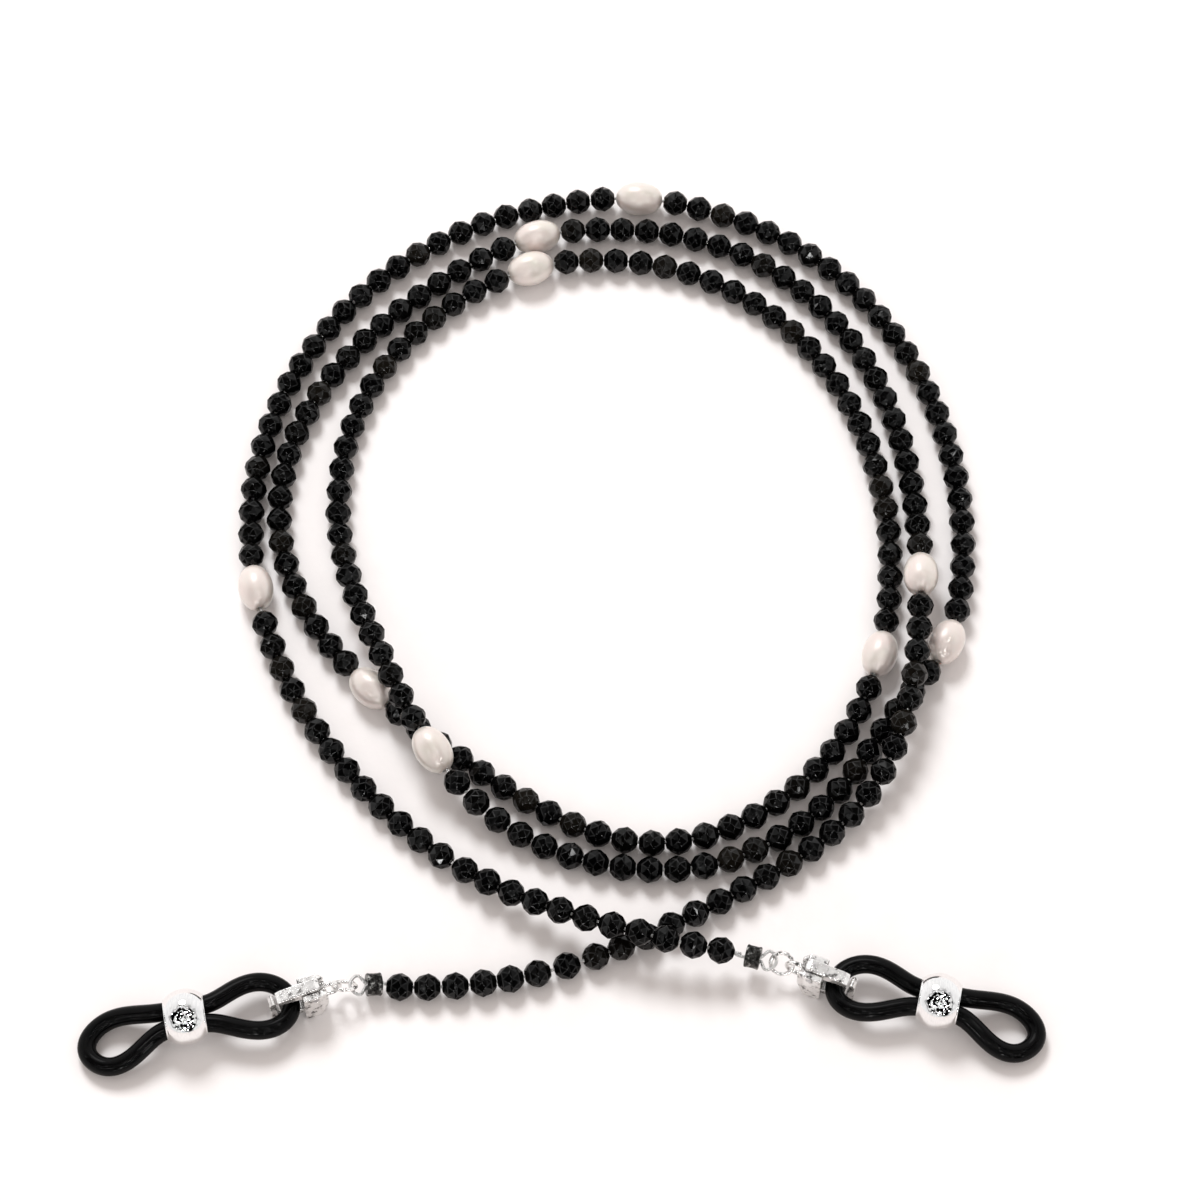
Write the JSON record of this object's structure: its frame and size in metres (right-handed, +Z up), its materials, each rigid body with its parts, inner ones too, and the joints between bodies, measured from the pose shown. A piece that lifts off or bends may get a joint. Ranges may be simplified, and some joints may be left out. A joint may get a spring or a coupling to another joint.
{
  "type": "eyeglass retainer strap",
  "caption": "Beaded cord that hangs eyeglasses round the neck, with a clasp and a sliding rubber temple loop at each end.",
  "frame": {"origin": "on the table, under the middle of the coiled strap's outline", "axes": "+Z up from the table, +X towards the right-hand end, +Y away from the two ends"},
  "size_m": [0.1026, 0.1139, 0.0064],
  "materials": {
    "black_glass": "opaque black facetted glass, fire polished",
    "pearl_nacre": "white nacre with a warm pink lustre",
    "beading_wire": "fine stranded steel beading wire",
    "gunmetal": "dark polished crimp tube",
    "silver_finding": "bright silver plate",
    "spring_steel": "drawn spring wire",
    "black_rubber": "glossy black extruded rubber",
    "polished_ball": "mirror polished silver"
  },
  "bodies": {
    "root": {"wire_coil": "beading_wire", "black_beads_stretch_1": "black_glass", "black_beads_stretch_2": "black_glass", "black_beads_stretch_3": "black_glass", "black_beads_stretch_4": "black_glass", "black_beads_stretch_5": "black_glass", "black_beads_stretch_6": "black_glass", "black_beads_stretch_7": "black_glass", "black_beads_stretch_8": "black_glass", "black_beads_left_strand": "black_glass"},
    "pearl_1": {"pearl_1": "pearl_nacre"},
    "pearl_2": {"pearl_2": "pearl_nacre"},
    "pearl_3": {"pearl_3": "pearl_nacre"},
    "pearl_4": {"pearl_4": "pearl_nacre"},
    "pearl_5": {"pearl_5": "pearl_nacre"},
    "pearl_6": {"pearl_6": "pearl_nacre"},
    "pearl_7": {"pearl_7": "pearl_nacre"},
    "pearl_8": {"pearl_8": "pearl_nacre"},
    "pearl_9": {"pearl_9": "pearl_nacre"},
    "right_strand": {"wire_right_strand": "beading_wire", "black_beads_right_strand": "black_glass"},
    "right_tail": {"wire_right_tail": "beading_wire", "black_beads_right_tail": "black_glass"},
    "left_link": {"wire_left_link": "beading_wire", "black_bead_left_link": "black_glass"},
    "left_tail": {"wire_left_tail": "beading_wire", "black_beads_left_tail": "black_glass"},
    "right_end": {"right_crimp": "gunmetal", "right_wire_loop": "beading_wire"},
    "right_ring": {"right_jump_ring": "silver_finding"},
    "right_clasp": {"right_clasp_body": "silver_finding", "right_clasp_pin": "silver_finding", "right_clasp_spring": "spring_steel"},
    "right_lever": {"right_clasp_lever": "silver_finding"},
    "right_rubber": {"right_rubber_temple_loop": "black_rubber"},
    "right_slider": {"right_slider_ball": "polished_ball"},
    "left_end": {"left_crimp": "gunmetal", "left_wire_loop": "beading_wire"},
    "left_ring": {"left_jump_ring": "silver_finding"},
    "left_clasp": {"left_clasp_body": "silver_finding", "left_clasp_pin": "silver_finding", "left_clasp_spring": "spring_steel"},
    "left_lever": {"left_clasp_lever": "silver_finding"},
    "left_rubber": {"left_rubber_temple_loop": "black_rubber"},
    "left_slider": {"left_slider_ball": "polished_ball"}
  },
  "joints": [
    {"name": "pearl_1_spin", "type": "hinge", "parent": "root", "child": "pearl_1", "pos_m": [-0.03481, 0.00145, 0.002], "axis": [-0.2103, 0.9776, 0], "continuous": true},
    {"name": "pearl_2_spin", "type": "hinge", "parent": "root", "child": "pearl_2", "pos_m": [0.00871, 0.055, 0.002], "axis": [0.9978, -0.0662, 0], "continuous": true},
    {"name": "pearl_3_spin", "type": "hinge", "parent": "root", "child": "pearl_3", "pos_m": [0.04276, -0.00547, 0.002], "axis": [-0.4113, -0.9115, 0], "continuous": true},
    {"name": "pearl_4_spin", "type": "hinge", "parent": "root", "child": "pearl_4", "pos_m": [-0.01429, -0.02014, 0.00442], "axis": [-0.5541, 0.8141, 0.1737], "continuous": true},
    {"name": "pearl_5_spin", "type": "hinge", "parent": "root", "child": "pearl_5", "pos_m": [-0.00423, 0.04489, 0.002], "axis": [0.9509, 0.3094, 0], "continuous": true},
    {"name": "pearl_6_spin", "type": "hinge", "parent": "root", "child": "pearl_6", "pos_m": [0.03526, -0.00699, 0.002], "axis": [-0.2573, -0.9663, 0], "continuous": true},
    {"name": "pearl_7_spin", "type": "hinge", "parent": "root", "child": "pearl_7", "pos_m": [-0.02144, -0.01128, 0.002], "axis": [-0.7014, 0.7128, 0], "continuous": true},
    {"name": "pearl_8_spin", "type": "hinge", "parent": "root", "child": "pearl_8", "pos_m": [-0.00347, 0.04942, 0.002], "axis": [0.9543, 0.2988, 0], "continuous": true},
    {"name": "pearl_9_spin", "type": "hinge", "parent": "root", "child": "pearl_9", "pos_m": [0.04011, 0.00218, 0.00385], "axis": [-0.048, -0.9798, 0.194], "continuous": true},
    {"name": "right_strand_lift", "type": "hinge", "parent": "root", "child": "right_strand", "pos_m": [-0.03407, -0.0015, 0.00193], "axis": [-0.9623, -0.272, 0], "range_deg": [0, 20]},
    {"name": "right_tail_lift", "type": "hinge", "parent": "right_strand", "child": "right_tail", "pos_m": [-0.01192, -0.03246, 0.00167], "axis": [-0.5839, -0.8118, 0], "range_deg": [0, 25]},
    {"name": "left_tail_swing", "type": "hinge", "parent": "root", "child": "left_link", "pos_m": [0.00203, -0.04393, 0.0015], "axis": [0, 0, 1], "range_deg": [-8, 25]},
    {"name": "left_tail_lift", "type": "hinge", "parent": "left_link", "child": "left_tail", "pos_m": [-0.00107, -0.04491, 0.0015], "axis": [-0.2729, 0.962, 0], "range_deg": [0, 25]},
    {"name": "right_end_swing", "type": "hinge", "parent": "right_tail", "child": "right_end", "pos_m": [0.01831, -0.0435, 0.00285], "axis": [0, 0, 1], "range_deg": [-25, 25]},
    {"name": "right_ring_pitch", "type": "hinge", "parent": "right_end", "child": "right_ring", "pos_m": [0.02277, -0.04462, 0.00285], "axis": [0.2419, 0.9703, 0], "range_deg": [-25, 25]},
    {"name": "right_clasp_swing", "type": "hinge", "parent": "right_ring", "child": "right_clasp", "pos_m": [0.02387, -0.04489, 0.00285], "axis": [0, 0, 1], "range_deg": [-15, 20]},
    {"name": "right_lever_pivot", "type": "hinge", "parent": "right_clasp", "child": "right_lever", "pos_m": [0.02658, -0.04593, 0.00395], "axis": [0.3584, 0.9336, 0], "range_deg": [0, 13], "stiffness_Nm_per_rad": 0.0005, "deforming": ["right_clasp_spring"]},
    {"name": "right_rubber_pitch", "type": "hinge", "parent": "right_clasp", "child": "right_rubber", "pos_m": [0.02888, -0.04682, 0.00213], "axis": [0.2079, 0.9781, 0], "range_deg": [-35, 15]},
    {"name": "right_slider_slide", "type": "slide", "parent": "right_rubber", "child": "right_slider", "axis": [0.9781, -0.2079, 0], "range_m": [-0.002, 0.003], "deforming": ["right_rubber_temple_loop"]},
    {"name": "left_end_swing", "type": "hinge", "parent": "left_tail", "child": "left_end", "pos_m": [-0.01875, -0.04655, 0.00157], "axis": [0, 0, 1], "range_deg": [-20, 20]},
    {"name": "left_ring_pitch", "type": "hinge", "parent": "left_end", "child": "left_ring", "pos_m": [-0.02252, -0.04708, 0.00238], "axis": [0.1392, -0.9903, 0], "range_deg": [-25, 25]},
    {"name": "left_clasp_swing", "type": "hinge", "parent": "left_ring", "child": "left_clasp", "pos_m": [-0.02362, -0.04723, 0.00285], "axis": [0, 0, 1], "range_deg": [-15, 20]},
    {"name": "left_lever_pivot", "type": "hinge", "parent": "left_clasp", "child": "left_lever", "pos_m": [-0.02636, -0.04818, 0.00395], "axis": [0.3256, -0.9455, 0], "range_deg": [0, 13], "stiffness_Nm_per_rad": 0.0005, "deforming": ["left_clasp_spring"]},
    {"name": "left_rubber_pitch", "type": "hinge", "parent": "left_clasp", "child": "left_rubber", "pos_m": [-0.02869, -0.04898, 0.00213], "axis": [0.1736, -0.9848, 0], "range_deg": [-35, 15]},
    {"name": "left_slider_slide", "type": "slide", "parent": "left_rubber", "child": "left_slider", "axis": [-0.9848, -0.1736, 0], "range_m": [-0.002, 0.003], "deforming": ["left_rubber_temple_loop"]}
  ]
}
